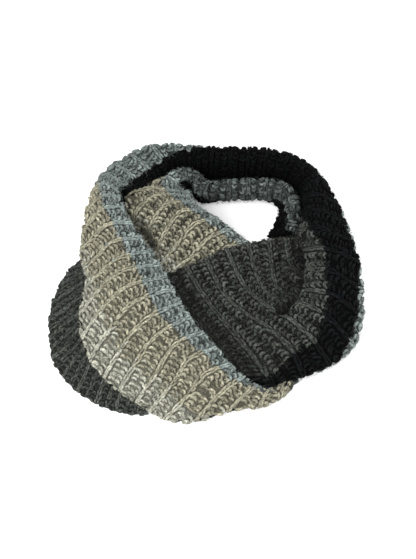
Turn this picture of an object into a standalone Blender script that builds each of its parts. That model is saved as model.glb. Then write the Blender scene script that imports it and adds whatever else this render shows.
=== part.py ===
"""A ribbed, chunky-knit infinity scarf, wound twice into a ring and laid on a surface.

The band is doubled along its length, so every stretch of it is a soft roll: a crown on one side
and the cloth's edge or belly on the other.  Each stretch that shows is one closed solid, lofted
through rib-wise sections.  Sizes in the tables are millimetres; the model itself is in metres.
"""
import math
from collections import namedtuple

import bmesh
import bpy
import numpy as np

# ---------------------------------------------------------------- driving sizes, millimetres
MM = 0.001
CENTRE_X = -1.97           # middle of the laid scarf, taken off every point
CENTRE_Y = 4.80
RIB_RISE = 2.1             # a rib's ridge above the cloth between two ribs
RIB_HALF_WIDTH = 0.26      # of the pitch from one rib to the next
FULL_PITCH = 18.0          # where ribs are gathered closer than this they stand less high
RIB_PITCH = 23.0           # from one rib to the next, where the band lies flat
SEAM_GAP = 0.3             # left between two stretches that meet
SEAM_SHARE = SEAM_GAP / RIB_PITCH
ROOM_GAP = 0.6             # left round a stretch where another one lies against it
ROOM_BEYOND = 0.1          # of a rib, that this room runs past the stretch's ends
ROOM_STATIONS = 4          # sections for each rib in the form that makes this room
REST_HEIGHT = 6.0          # below this the cloth is pressed flat, with no rib
BELLY_STEPS = 2            # rings of points from the surface it lies on up to the cloth's low edge
SPAN_STEPS = 4             # rings of points between two named places of a section
# a rib's four stations along the band, as shares of the pitch, the first on its ridge
RIB_STATIONS = (0.0, 0.22, 0.5, 0.78)

# ---------------------------------------------------------------- sections, millimetres
# rib   how many ribs along the stretch this section lies
# low   the side that faces out of the ring, where the cloth turns down
# rise  between the low side and the crown
# crown the top of the doubled band
# lip   the last of the cloth that shows on the side of the neck hole
# toe   how far the foot under the low side stands in from it
# heel  how far the foot under the lip stands in from it (less than 0: it spreads into the hole)
Section = namedtuple("Section", "rib low rise crown lip toe heel")

# the outer turn, from its start at the front, round the right, the back and the left, to the front
OUTER_TURN = (
    Section(-1.0, (30, -138, 10), (6, -120, 28), (-48, -56, 36), (-76, -14, 40), 2, 1),
    Section(0.0, (50, -137, 12), (32, -110, 33), (-25, -38, 38), (-52, 1, 44), 2, 1),
    Section(1.0, (77, -127, 16), (62, -112, 38), (-6, -21, 40), (-26, 10, 46), 4, 1),
    Section(2.0, (108, -113, 20), (94, -90, 42), (16, -19, 42), (-3, 20, 48), 5, 1),
    Section(3.0, (138, -100, 22), (115, -76, 45), (40, -10, 42), (20, 32, 49), 5, 1),
    Section(4.0, (166, -79, 24), (131, -49, 48), (63, -14, 36), (46, 38, 50), 6, 3),
    Section(5.0, (177, -46, 26), (137, -24, 50), (83, -13, 28), (69, 43, 50), 6, 3),
    Section(6.0, (179, -13, 28), (138, 3, 51), (100, 15, 25), (87, 46, 48), 7, 3),
    Section(7.0, (176, 22, 30), (131, 30, 53), (106, 40, 28), (100, 51, 37), 7, 2),
    Section(8.3, (168, 53, 32), (124, 61, 57), (109, 66, 38), (104, 70, 24), 7, 0),
    Section(9.7, (158, 84, 34), (124, 88, 60), (113, 91, 44), (107, 94, 22), 7, 0),
    Section(11.0, (144, 115, 34), (128, 114, 61), (115, 113, 46), (109, 113, 22), 7, 0),
    Section(12.0, (126, 142, 32), (114, 131, 61), (104, 124, 44), (99, 121, 22), 7, 0),
    Section(13.0, (101, 159, 30), (94, 143, 62), (87, 134, 42), (83, 130, 22), 7, 0),
    Section(14.2, (69, 165, 30), (66, 150, 62), (63, 140, 42), (62, 136, 22), 7, 0),
    Section(15.8, (31, 166, 30), (31, 152, 62), (30, 141, 42), (30, 137, 22), 7, 0),
    Section(18.0, (-15, 169, 30), (-16, 154, 62), (-17, 146, 42), (-17, 144, 22), 7, 0),
    Section(19.4, (-55, 173, 30), (-50, 158, 59), (-39, 148, 46), (-37, 147, 24), 7, 0),
    Section(20.4, (-81, 170, 30), (-74, 154, 57), (-57, 137, 50), (-50, 134, 28), 7, 0),
    Section(21.4, (-103, 155, 32), (-94, 139, 56), (-75, 124, 57), (-64, 119, 38), 7, 1),
    Section(22.2, (-119, 144, 32), (-107, 132, 54), (-91, 116, 61), (-80, 110, 48), 7, 5),
    Section(23.0, (-130, 130, 32), (-120, 124, 50), (-108, 115, 62), (-98, 106, 56), 6, 10),
    Section(25.0, (-145, 86, 28), (-133, 90, 44), (-120, 93, 61), (-101, 92, 58), 5, 12),
    Section(26.0, (-148, 62, 24), (-136, 68, 42), (-120, 78, 58), (-97, 79, 58), 4, 13),
    Section(27.0, (-150, 41, 18), (-133, 48, 40), (-115, 57, 58), (-87, 59, 58), 2, 13),
    Section(28.0, (-147, 24, 13), (-129, 27, 36), (-109, 37, 56), (-76, 41, 58), 1, 13),
    Section(29.0, (-143, 3, 11), (-126, 8, 34), (-103, 17, 55), (-64, 25, 58), 1, 13),
    Section(30.0, (-148, -24, 10), (-126, -11, 32), (-101, 2, 53), (-54, 8, 57), 1, 13),
    Section(31.0, (-148, -51, 10), (-124, -31, 32), (-95, -16, 52), (-46, -6, 56), 1, 13),
    Section(32.0, (-141, -76, 10), (-118, -55, 32), (-86, -32, 51), (-38, -21, 55), 1, 13),
    Section(33.0, (-131, -97, 10), (-105, -76, 32), (-75, -53, 50), (-30, -37, 54), 1, 13),
    Section(34.0, (-114, -116, 10), (-90, -92, 31), (-61, -71, 48), (-19, -53, 53), 1, 13),
    Section(35.0, (-94, -132, 10), (-67, -107, 30), (-38, -80, 46), (-5, -71, 51), 1, 12),
    Section(36.0, (-72, -147, 10), (-44, -122, 28), (-21, -97, 43), (10, -88, 48), 1, 11),
    Section(37.0, (-49, -160, 12), (-24, -139, 28), (-2, -116, 40), (25, -106, 44), 2, 10),
    Section(38.0, (-14, -163, 15), (5, -145, 27), (23, -129, 36), (40, -119, 38), 4, 8),
    Section(39.0, (23, -152, 15), (34, -141, 24), (44, -134, 29), (56, -126, 30), 5, 6),
    Section(40.0, (58, -147, 13), (61, -140, 20), (65, -133, 23), (69, -127, 21), 4, 3),
    Section(41.0, (80, -137, 10), (82, -131, 16), (84, -124, 18), (87, -117, 15), 3, 2),
    Section(41.6, (94, -127, 9), (96, -122, 14), (98, -116, 14), (101, -110, 11), 3, 2),
)
RIGHT_TO_BACK = 11.5       # the outer turn's seams, counted in ribs
BACK_TO_FRONT = 23.5
# the front's ribs run slanting over the roll: how many ribs ahead of its lip a section's low side is
# taken, from place to place, and how much of that applies to the section's points
SLANT = ((27.0, 0.0), (33.0, 0.8), (35.0, 0.6), (37.0, 0.0), (41.6, 0.0))
SLANT_SHARES = {"low": 1.0, "rise": 0.65, "crown": 0.3}

# the inner turn, from under the right of the outer one, round the back, through a hairpin, to the
# front, where it passes under the outer turn's start
INNER_TURN = (
    Section(0.6, (105, 64, 20), (103, 59, 28), (100, 58, 34), (93, 60, 34), 5, -24),
    Section(1.6, (108, 88, 28), (105, 80, 48), (100, 76, 57), (92, 78, 47), 5, -13),
    Section(2.4, (105, 107, 28), (101, 99, 48), (94, 93, 58), (88, 92, 46), 5, -5),
    Section(3.2, (90, 122, 28), (89, 115, 48), (84, 107, 57), (79, 98, 44), 5, 11),
    Section(4.0, (69, 126, 28), (69, 120, 47), (68, 111, 57), (67, 101, 44), 5, 18),
    Section(5.2, (43, 127, 28), (43, 120, 47), (43, 111, 57), (43, 101, 44), 5, 18),
    Section(6.4, (16, 125, 28), (16, 118, 47), (16, 109, 57), (14, 101, 44), 5, 16),
    Section(7.4, (0, 126, 26), (-2, 118, 46), (-6, 110, 57), (-13, 102, 50), 5, 14),
    Section(8.0, (-6, 132, 26), (-8, 125, 46), (-12, 117, 60), (-17, 110, 52), 5, 6),
    Section(8.5, (-17, 137, 26), (-18, 132, 46), (-18, 124, 60), (-19, 115, 54), 5, 3),
    Section(9.0, (-30, 138, 26), (-29, 134, 46), (-27, 127, 60), (-24, 116, 54), 5, 3),
    Section(9.5, (-42, 136, 26), (-40, 131, 46), (-36, 124, 60), (-29, 114, 54), 5, 3),
    Section(10.0, (-58, 129, 26), (-53, 124, 43), (-44, 116, 58), (-30, 109, 54), 5, 3),
    Section(10.5, (-80, 122, 26), (-72, 117, 40), (-54, 110, 54), (-27, 104, 54), 5, 3),
    Section(11.0, (-98, 108, 26), (-88, 107, 40), (-67, 106, 50), (-21, 100, 56), 5, 4),
    Section(12.0, (-99, 56, 30), (-82, 86, 37), (-67, 97, 48), (-20, 95, 56), 0, 5),
    Section(13.0, (-84, 26, 30), (-64, 70, 39), (-49, 88, 48), (-15, 87, 56), 0, 6),
    Section(14.0, (-73, 13, 30), (-48, 58, 40), (-33, 77, 49), (-6, 78, 56), 0, 7),
    Section(15.0, (-67, 4, 30), (-34, 42, 40), (-16, 62, 48), (10, 67, 56), 0, 8),
    Section(16.0, (-59, -7, 30), (-20, 24, 40), (2, 45, 48), (27, 54, 55), 0, 8),
    Section(17.0, (-46, -21, 28), (1, 18, 38), (22, 35, 44), (44, 41, 50), 0, 7),
    Section(18.0, (-32, -30, 26), (17, 7, 34), (42, 25, 38), (61, 33, 44), 0, 4),
)
HAIRPIN_TO_FRONT = 9.5     # the inner turn's seam

# the doubled band's lower layer, which shows past the upper one's edge: its outer edge, and the
# line under the upper layer where it ends
Layer = namedtuple("Layer", "rib edge tuck")
UNDER_LAYER = (
    Layer(0.0, (-144, 44), (-137, 40)),
    Layer(1.0, (-164, 23), (-136, 22)),
    Layer(2.2, (-177, -3), (-135, 3)),
    Layer(3.4, (-184, -29), (-140, -22)),
    Layer(4.6, (-184, -55), (-140, -48)),
    Layer(6.0, (-178, -89), (-133, -74)),
    Layer(7.6, (-155, -121), (-118, -99)),
    Layer(9.0, (-126, -141), (-100, -117)),
    Layer(10.6, (-91, -153), (-80, -132)),
    Layer(11.6, (-67, -154), (-66, -142)),
)
UNDER_LAYER_THICKNESS = 6.5
# its ribs slant too: how many ribs behind its outer edge a section's tucked end is taken
LAYER_SLANT = ((0.0, 0.0), (2.5, 1.6), (8.0, 1.6), (11.6, 0.0))

# ---------------------------------------------------------------- yarn colours, linear
CREAM = (0.52, 0.49, 0.42)
BEIGE = (0.40, 0.36, 0.28)
BLUE_GREY = (0.22, 0.26, 0.27)
DARK_GREY = (0.06, 0.065, 0.06)
BLACK = (0.01, 0.01, 0.012)


# ---------------------------------------------------------------- curves
def smooth_through(places, values, at):
    """Read a smooth curve through the values, given at the places, at the new places."""
    places = np.asarray(places, float)
    values = np.asarray(values, float)
    at = np.asarray(at, float)
    slopes = np.gradient(values, places, axis=0)
    span = np.clip(np.searchsorted(places, at, side="right") - 1, 0, len(places) - 2)
    width = places[span + 1] - places[span]
    share = (at - places[span]) / width
    shape = (-1,) + (1,) * (values.ndim - 1)
    share = share.reshape(shape)
    width = width.reshape(shape)
    return ((2 * share ** 3 - 3 * share ** 2 + 1) * values[span]
            + (share ** 3 - 2 * share ** 2 + share) * width * slopes[span]
            + (3 * share ** 2 - 2 * share ** 3) * values[span + 1]
            + (share ** 3 - share ** 2) * width * slopes[span + 1])


def rib_places(first, last):
    """Places along a stretch: four for every rib, with the two ends."""
    inner = [rib + part for rib in range(math.floor(first), math.ceil(last) + 1)
             for part in RIB_STATIONS]
    inner = [place for place in inner if first + 0.12 < place < last - 0.12]
    return np.array([first] + inner + [last])


def ridge(place):
    """Height of the ribbing at a place along the band: 1 on a ridge, 0 between two."""
    away = abs(place - round(place)) / RIB_HALF_WIDTH
    return math.exp(-away * away)


# ---------------------------------------------------------------- sections to points
def section_points(low, rise, crown, lip, toe, heel):
    """One section's points, from the foot on the low side over the crown to the lip's foot."""
    across = np.array([low, rise, crown, lip])
    lengths = np.linalg.norm(np.diff(across, axis=0), axis=1)
    places = np.concatenate([[0.0], np.cumsum(lengths)])
    steps = []
    for begin, end in zip(places[:-1], places[1:]):
        steps.extend(np.linspace(begin, end, SPAN_STEPS, endpoint=False))
    steps.append(places[-1])
    top = smooth_through(places, across, steps)
    inward = (rise - low)[:2] / np.linalg.norm((rise - low)[:2])
    low_foot = np.array([*(low[:2] + inward * toe), 0.0])
    outward = (crown - lip)[:2] / np.linalg.norm((crown - lip)[:2])
    lip_foot = np.array([*(lip[:2] + outward * heel), 0.0])
    shares = np.linspace(0.0, 1.0, BELLY_STEPS + 1)[:-1]
    low_side = [low_foot + (low - low_foot) * np.array([s ** 0.5, s ** 0.5, s]) for s in shares]
    lip_side = [lip_foot + (lip - lip_foot) * np.array([s ** 0.5, s ** 0.5, s]) for s in shares]
    return np.vstack([low_side, top, lip_side[::-1]])


def stretch_grid(table, places, ribbed, grow):
    """Points of a stretch, station by station, with ribs raised or the whole face grown out."""
    ribs = [row.rib for row in table]
    ahead = np.interp(places, *zip(*SLANT)) if table is OUTER_TURN else np.zeros(len(places))
    columns = [smooth_through(ribs, [getattr(row, name) for row in table],
                              places + ahead * SLANT_SHARES.get(name, 0.0))
               for name in Section._fields[1:]]
    grid = np.array([section_points(*parts) for parts in zip(*columns)])
    along = np.gradient(grid, places, axis=0)
    around = np.gradient(grid, axis=1)
    normals = np.cross(around, along)
    normals /= np.linalg.norm(normals, axis=2)[:, :, None]
    middle = grid.mean(axis=1)[:, None, :]
    if np.sum(normals * (grid - middle)) < 0:
        normals = -normals
    clear = np.clip(grid[:, :, 2] / REST_HEIGHT, 0.0, 1.0)
    clear *= np.clip(np.linalg.norm(along, axis=2) / FULL_PITCH, 0.0, 1.0)
    if ribbed:
        raised = np.array([ridge(place) for place in places])[:, None] * RIB_RISE * clear
    else:
        raised = np.full(grid.shape[:2], RIB_RISE) * clear
    grid = grid + normals * (raised + grow)[:, :, None]
    grid[:, 0, 2] = -grow
    grid[:, -1, 2] = -grow
    return grid


def layer_grid(table, places):
    """Points of the thin under layer: outer edge, rounded top, and the end that is tucked in."""
    ribs = [row.rib for row in table]
    edge = smooth_through(ribs, [row.edge for row in table], places)
    behind = places - np.interp(places, *zip(*LAYER_SLANT))
    tuck = smooth_through(ribs, [row.tuck for row in table], behind)
    rows = []
    for place, out, end in zip(places, edge, tuck):
        lift = UNDER_LAYER_THICKNESS + ridge(place) * RIB_RISE * 0.4
        inward = (end - out) / np.linalg.norm(end - out)
        rows.append([
            [*(out + inward * 1.5), 0.0],
            [*out, lift * 0.35],
            [*(out + inward * 1.2), lift * 0.8],
            [*(out + inward * 4.0), lift],
            [*(out * 0.5 + end * 0.5), lift],
            [*end, lift],
            [*end, 0.0],
        ])
    return np.array(rows)


# ---------------------------------------------------------------- points to solids
def end_face(shell, section):
    """Close one end, in rungs across the section, so that two ends that meet are alike."""
    left, right = 0, len(section) - 1
    while right - left > 2:
        shell.faces.new((section[left], section[left + 1], section[right - 1]))
        shell.faces.new((section[left], section[right - 1], section[right]))
        left += 1
        right -= 1
    shell.faces.new(section[left:right + 1])


def solid(name, grid):
    """Close a grid of sections into one body: skin, flat underside and the two ends."""
    stations, ring = grid.shape[:2]
    shell = bmesh.new()
    points = grid.reshape(-1, 3) - np.array([CENTRE_X, CENTRE_Y, 0.0])
    verts = [shell.verts.new(point * MM) for point in points]
    for station in range(stations - 1):
        for step in range(ring):
            following = (step + 1) % ring
            shell.faces.new((
                verts[station * ring + step],
                verts[station * ring + following],
                verts[(station + 1) * ring + following],
                verts[(station + 1) * ring + step],
            ))
    end_face(shell, verts[:ring])
    end_face(shell, verts[-ring:])
    bmesh.ops.recalc_face_normals(shell, faces=shell.faces)
    bmesh.ops.triangulate(shell, faces=shell.faces, quad_method="SHORT_EDGE", ngon_method="EAR_CLIP")
    mesh = bpy.data.meshes.new(name)
    shell.to_mesh(mesh)
    shell.free()
    body = bpy.data.objects.new(name, mesh)
    bpy.context.scene.collection.objects.link(body)
    return body


def knit(name, colour):
    """A matt wool finish in the stretch's main colour."""
    finish = bpy.data.materials.new(name)
    finish.use_nodes = True
    shader = finish.node_tree.nodes["Principled BSDF"]
    shader.inputs["Base Color"].default_value = (*colour, 1.0)
    shader.inputs["Roughness"].default_value = 0.95
    shader.inputs["Metallic"].default_value = 0.0
    return finish


def finish(body, colour):
    body.data.materials.append(knit(body.name + "_wool", colour))
    body.data.shade_smooth()
    body.data.set_sharp_from_angle(angle=math.radians(60))


def stretch(name, table, first, last, colour):
    """One visible stretch of a turn, from one place to another, counted in ribs."""
    first = max(first + SEAM_SHARE, table[0].rib)
    last = min(last - SEAM_SHARE, table[-1].rib)
    body = solid(name, stretch_grid(table, rib_places(first, last), True, 0.0))
    finish(body, colour)
    return body


def room_for(name, table, first, last):
    """A cutter: a stretch's smooth outer form, grown by the gap that neighbours leave it."""
    places = np.linspace(first - ROOM_BEYOND, last + ROOM_BEYOND,
                         ROOM_STATIONS * round(last - first) + 1)
    body = solid(name, stretch_grid(table, places, False, ROOM_GAP))
    body.hide_render = True
    body.display_type = "WIRE"
    return body


def cut_by(body, cutter):
    cut = body.modifiers.new("room_" + cutter.name, "BOOLEAN")
    cut.operation = "DIFFERENCE"
    cut.solver = "EXACT"
    cut.use_self = True
    cut.object = cutter


# ---------------------------------------------------------------- the scarf
def build():
    for old in list(bpy.data.objects):
        bpy.data.objects.remove(old, do_unlink=True)
    right = stretch("right_wrap", OUTER_TURN, OUTER_TURN[0].rib, RIGHT_TO_BACK, DARK_GREY)
    stretch("back_wrap", OUTER_TURN, RIGHT_TO_BACK, BACK_TO_FRONT, BLACK)
    stretch("front_wrap", OUTER_TURN, BACK_TO_FRONT, OUTER_TURN[-1].rib, CREAM)
    inner_back = stretch("inner_back_wrap", INNER_TURN, INNER_TURN[0].rib, HAIRPIN_TO_FRONT, BLUE_GREY)
    inner_front = stretch("inner_front_wrap", INNER_TURN, HAIRPIN_TO_FRONT, INNER_TURN[-1].rib, BEIGE)
    layer_places = rib_places(UNDER_LAYER[0].rib, UNDER_LAYER[-1].rib)
    layer = solid("front_under_layer", layer_grid(UNDER_LAYER, layer_places))
    finish(layer, DARK_GREY)
    front_room = room_for("front_room", OUTER_TURN, BACK_TO_FRONT, OUTER_TURN[-1].rib)
    right_room = room_for("right_room", OUTER_TURN, OUTER_TURN[0].rib, RIGHT_TO_BACK)
    back_room = room_for("back_room", OUTER_TURN, RIGHT_TO_BACK, BACK_TO_FRONT)
    cut_by(right, front_room)
    cut_by(layer, front_room)
    cut_by(inner_front, front_room)
    cut_by(inner_front, right_room)
    cut_by(inner_front, back_room)
    cut_by(inner_back, right_room)


build()
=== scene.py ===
# %% [markdown]
# # A chunky ribbed infinity scarf, wound twice and laid down
#
# The real scarf is one long loop of knitting in five bands of yarn, cream at one edge and dark grey
# at the other. It has been doubled along its length, wound twice, and laid on a table so that the
# neck hole stays open. The frame holds the form of each stretch as a closed solid. This script
# covers every solid with what a knitter would make: a thin backing cloth, rows of separate
# stitches, and the loose fibres that stand off them.
#
# Everything is in metres in the frame; the tables of sections are in millimetres, as a maker would
# measure the laid scarf with a tape.

# %% Load the frame
import math
from collections import namedtuple

import bmesh
import bpy
import numpy as np
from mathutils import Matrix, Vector
from mathutils.bvhtree import BVHTree


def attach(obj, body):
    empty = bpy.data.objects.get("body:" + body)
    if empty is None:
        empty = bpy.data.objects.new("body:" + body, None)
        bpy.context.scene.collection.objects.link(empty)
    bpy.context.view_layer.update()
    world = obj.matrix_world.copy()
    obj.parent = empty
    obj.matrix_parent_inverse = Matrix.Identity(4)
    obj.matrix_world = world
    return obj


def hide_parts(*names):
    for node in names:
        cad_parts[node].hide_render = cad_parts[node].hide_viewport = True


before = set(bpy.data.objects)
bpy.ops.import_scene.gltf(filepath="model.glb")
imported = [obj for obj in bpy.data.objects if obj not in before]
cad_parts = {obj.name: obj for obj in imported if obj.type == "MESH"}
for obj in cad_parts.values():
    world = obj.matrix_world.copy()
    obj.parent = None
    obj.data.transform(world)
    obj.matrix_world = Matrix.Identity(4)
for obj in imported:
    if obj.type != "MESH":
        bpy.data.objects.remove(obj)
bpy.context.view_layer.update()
MM = 0.001
chance = np.random.default_rng(7)        # seeded, so that every run knits the same scarf
print("solids:", ", ".join(sorted(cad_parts)))

# %% [markdown]
# ## The form the cloth lies on
#
# The doubled band rises from the table on the side facing out, goes over a crown, and ends at a lip
# on the neck hole's side. Sections taken across the band, counted in ribs, describe that form. They
# are the sections that the solids were lofted through, so the cloth lies where its solid does. The
# solids' own meshes could be followed instead, but they don't say which rib or row a point is on.

# %% The sections
CENTRE = np.array([-1.97, 4.80, 0.0])    # middle of the laid scarf
# low: where the cloth turns down on the side facing out. rise: between that and the crown. crown: the
# top. lip: the last place that shows by the neck hole. toe and heel: how far the feet under the low
# side and under the lip stand in from them
Section = namedtuple("Section", "rib low rise crown lip toe heel")

OUTER_TURN = (
    Section(-1.0, (30, -138, 10), (6, -120, 28), (-48, -56, 36), (-76, -14, 40), 2, 1),
    Section(0.0, (50, -137, 12), (32, -110, 33), (-25, -38, 38), (-52, 1, 44), 2, 1),
    Section(1.0, (77, -127, 16), (62, -112, 38), (-6, -21, 40), (-26, 10, 46), 4, 1),
    Section(2.0, (108, -113, 20), (94, -90, 42), (16, -19, 42), (-3, 20, 48), 5, 1),
    Section(3.0, (138, -100, 22), (115, -76, 45), (40, -10, 42), (20, 32, 49), 5, 1),
    Section(4.0, (166, -79, 24), (131, -49, 48), (63, -14, 36), (46, 38, 50), 6, 3),
    Section(5.0, (177, -46, 26), (137, -24, 50), (83, -13, 28), (69, 43, 50), 6, 3),
    Section(6.0, (179, -13, 28), (138, 3, 51), (100, 15, 25), (87, 46, 48), 7, 3),
    Section(7.0, (176, 22, 30), (131, 30, 53), (106, 40, 28), (100, 51, 37), 7, 2),
    Section(8.3, (168, 53, 32), (124, 61, 57), (109, 66, 38), (104, 70, 24), 7, 0),
    Section(9.7, (158, 84, 34), (124, 88, 60), (113, 91, 44), (107, 94, 22), 7, 0),
    Section(11.0, (144, 115, 34), (128, 114, 61), (115, 113, 46), (109, 113, 22), 7, 0),
    Section(12.0, (126, 142, 32), (114, 131, 61), (104, 124, 44), (99, 121, 22), 7, 0),
    Section(13.0, (101, 159, 30), (94, 143, 62), (87, 134, 42), (83, 130, 22), 7, 0),
    Section(14.2, (69, 165, 30), (66, 150, 62), (63, 140, 42), (62, 136, 22), 7, 0),
    Section(15.8, (31, 166, 30), (31, 152, 62), (30, 141, 42), (30, 137, 22), 7, 0),
    Section(18.0, (-15, 169, 30), (-16, 154, 62), (-17, 146, 42), (-17, 144, 22), 7, 0),
    Section(19.4, (-55, 173, 30), (-50, 158, 59), (-39, 148, 46), (-37, 147, 24), 7, 0),
    Section(20.4, (-81, 170, 30), (-74, 154, 57), (-57, 137, 50), (-50, 134, 28), 7, 0),
    Section(21.4, (-103, 155, 32), (-94, 139, 56), (-75, 124, 57), (-64, 119, 38), 7, 1),
    Section(22.2, (-119, 144, 32), (-107, 132, 54), (-91, 116, 61), (-80, 110, 48), 7, 5),
    Section(23.0, (-130, 130, 32), (-120, 124, 50), (-108, 115, 62), (-98, 106, 56), 6, 10),
    Section(25.0, (-145, 86, 28), (-133, 90, 44), (-120, 93, 61), (-101, 92, 58), 5, 12),
    Section(26.0, (-148, 62, 24), (-136, 68, 42), (-120, 78, 58), (-97, 79, 58), 4, 13),
    Section(27.0, (-150, 41, 18), (-133, 48, 40), (-115, 57, 58), (-87, 59, 58), 2, 13),
    Section(28.0, (-147, 24, 13), (-129, 27, 36), (-109, 37, 56), (-76, 41, 58), 1, 13),
    Section(29.0, (-143, 3, 11), (-126, 8, 34), (-103, 17, 55), (-64, 25, 58), 1, 13),
    Section(30.0, (-148, -24, 10), (-126, -11, 32), (-101, 2, 53), (-54, 8, 57), 1, 13),
    Section(31.0, (-148, -51, 10), (-124, -31, 32), (-95, -16, 52), (-46, -6, 56), 1, 13),
    Section(32.0, (-141, -76, 10), (-118, -55, 32), (-86, -32, 51), (-38, -21, 55), 1, 13),
    Section(33.0, (-131, -97, 10), (-105, -76, 32), (-75, -53, 50), (-30, -37, 54), 1, 13),
    Section(34.0, (-114, -116, 10), (-90, -92, 31), (-61, -71, 48), (-19, -53, 53), 1, 13),
    Section(35.0, (-94, -132, 10), (-67, -107, 30), (-38, -80, 46), (-5, -71, 51), 1, 12),
    Section(36.0, (-72, -147, 10), (-44, -122, 28), (-21, -97, 43), (10, -88, 48), 1, 11),
    Section(37.0, (-49, -160, 12), (-24, -139, 28), (-2, -116, 40), (25, -106, 44), 2, 10),
    Section(38.0, (-14, -163, 15), (5, -145, 27), (23, -129, 36), (40, -119, 38), 4, 8),
    Section(39.0, (23, -152, 15), (34, -141, 24), (44, -134, 29), (56, -126, 30), 5, 6),
    Section(40.0, (58, -147, 13), (61, -140, 20), (65, -133, 23), (69, -127, 21), 4, 3),
    Section(41.0, (80, -137, 10), (82, -131, 16), (84, -124, 18), (87, -117, 15), 3, 2),
    Section(41.6, (94, -127, 9), (96, -122, 14), (98, -116, 14), (101, -110, 11), 3, 2),
)
RIGHT_TO_BACK = 11.5       # the outer turn's seams, counted in ribs
BACK_TO_FRONT = 23.5
# the front's ribs run slanting over the roll: how many ribs ahead of its lip a section's low side is
# taken, from place to place, and how much of that applies to the section's points
SLANT = ((27.0, 0.0), (33.0, 0.8), (35.0, 0.6), (37.0, 0.0), (41.6, 0.0))
SLANT_SHARES = {"low": 1.0, "rise": 0.65, "crown": 0.3}

INNER_TURN = (
    Section(0.6, (105, 64, 20), (103, 59, 28), (100, 58, 34), (93, 60, 34), 5, -24),
    Section(1.6, (108, 88, 28), (105, 80, 48), (100, 76, 57), (92, 78, 47), 5, -13),
    Section(2.4, (105, 107, 28), (101, 99, 48), (94, 93, 58), (88, 92, 46), 5, -5),
    Section(3.2, (90, 122, 28), (89, 115, 48), (84, 107, 57), (79, 98, 44), 5, 11),
    Section(4.0, (69, 126, 28), (69, 120, 47), (68, 111, 57), (67, 101, 44), 5, 18),
    Section(5.2, (43, 127, 28), (43, 120, 47), (43, 111, 57), (43, 101, 44), 5, 18),
    Section(6.4, (16, 125, 28), (16, 118, 47), (16, 109, 57), (14, 101, 44), 5, 16),
    Section(7.4, (0, 126, 26), (-2, 118, 46), (-6, 110, 57), (-13, 102, 50), 5, 14),
    Section(8.0, (-6, 132, 26), (-8, 125, 46), (-12, 117, 60), (-17, 110, 52), 5, 6),
    Section(8.5, (-17, 137, 26), (-18, 132, 46), (-18, 124, 60), (-19, 115, 54), 5, 3),
    Section(9.0, (-30, 138, 26), (-29, 134, 46), (-27, 127, 60), (-24, 116, 54), 5, 3),
    Section(9.5, (-42, 136, 26), (-40, 131, 46), (-36, 124, 60), (-29, 114, 54), 5, 3),
    Section(10.0, (-58, 129, 26), (-53, 124, 43), (-44, 116, 58), (-30, 109, 54), 5, 3),
    Section(10.5, (-80, 122, 26), (-72, 117, 40), (-54, 110, 54), (-27, 104, 54), 5, 3),
    Section(11.0, (-98, 108, 26), (-88, 107, 40), (-67, 106, 50), (-21, 100, 56), 5, 4),
    Section(12.0, (-99, 56, 30), (-82, 86, 37), (-67, 97, 48), (-20, 95, 56), 0, 5),
    Section(13.0, (-84, 26, 30), (-64, 70, 39), (-49, 88, 48), (-15, 87, 56), 0, 6),
    Section(14.0, (-73, 13, 30), (-48, 58, 40), (-33, 77, 49), (-6, 78, 56), 0, 7),
    Section(15.0, (-67, 4, 30), (-34, 42, 40), (-16, 62, 48), (10, 67, 56), 0, 8),
    Section(16.0, (-59, -7, 30), (-20, 24, 40), (2, 45, 48), (27, 54, 55), 0, 8),
    Section(17.0, (-46, -21, 28), (1, 18, 38), (22, 35, 44), (44, 41, 50), 0, 7),
    Section(18.0, (-32, -30, 26), (17, 7, 34), (42, 25, 38), (61, 33, 44), 0, 4),
)
HAIRPIN_TO_FRONT = 9.5

Layer = namedtuple("Layer", "rib edge tuck")
UNDER_LAYER = (
    Layer(0.0, (-144, 44), (-137, 40)),
    Layer(1.0, (-164, 23), (-136, 22)),
    Layer(2.2, (-177, -3), (-135, 3)),
    Layer(3.4, (-184, -29), (-140, -22)),
    Layer(4.6, (-184, -55), (-140, -48)),
    Layer(6.0, (-178, -89), (-133, -74)),
    Layer(7.6, (-155, -121), (-118, -99)),
    Layer(9.0, (-126, -141), (-100, -117)),
    Layer(10.6, (-91, -153), (-80, -132)),
    Layer(11.6, (-67, -154), (-66, -142)),
)
UNDER_LAYER_THICKNESS = 6.5
# its ribs slant too: how many ribs behind its outer edge a section's tucked end is taken
LAYER_SLANT = ((0.0, 0.0), (2.5, 1.6), (8.0, 1.6), (11.6, 0.0))
print(len(OUTER_TURN), "outer,", len(INNER_TURN), "inner and", len(UNDER_LAYER), "lower sections")

# %% [markdown]
# ## A smooth curve through measured places
#
# Soft cloth has no corners, so every section is read as a smooth curve through its four named places,
# and so are the sections from one rib to the next. A subdivided cage would round the form as well, but
# it would pull away from the measured places. This curve goes through every one of them, with the
# slope that its neighbours give it.

# %% Smooth curves
def smooth_through(places, values, at):
    """Read a smooth curve through the values, given at the places, at the new places."""
    places = np.asarray(places, float)
    values = np.asarray(values, float)
    at = np.asarray(at, float)
    slopes = np.gradient(values, places, axis=0)
    span = np.clip(np.searchsorted(places, at, side="right") - 1, 0, len(places) - 2)
    width = places[span + 1] - places[span]
    share = (at - places[span]) / width
    shape = (-1,) + (1,) * (values.ndim - 1)
    share = share.reshape(shape)
    width = width.reshape(shape)
    return ((2 * share ** 3 - 3 * share ** 2 + 1) * values[span]
            + (share ** 3 - 2 * share ** 2 + share) * width * slopes[span]
            + (3 * share ** 2 - 2 * share ** 3) * values[span + 1]
            + (share ** 3 - share ** 2) * width * slopes[span + 1])


print("between 0, 1 and 4:", smooth_through([0, 1, 2], [0, 1, 4], [0.5, 1.5]))

# %% [markdown]
# ## One section after another
#
# From the outermost places the cloth turns in to its feet on the table, and it goes on across the
# underside, as the doubled band does. The underside could be left open, since nobody looks there, but
# a real band has cloth on both faces, and from low down one would look into an empty shell.

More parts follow.
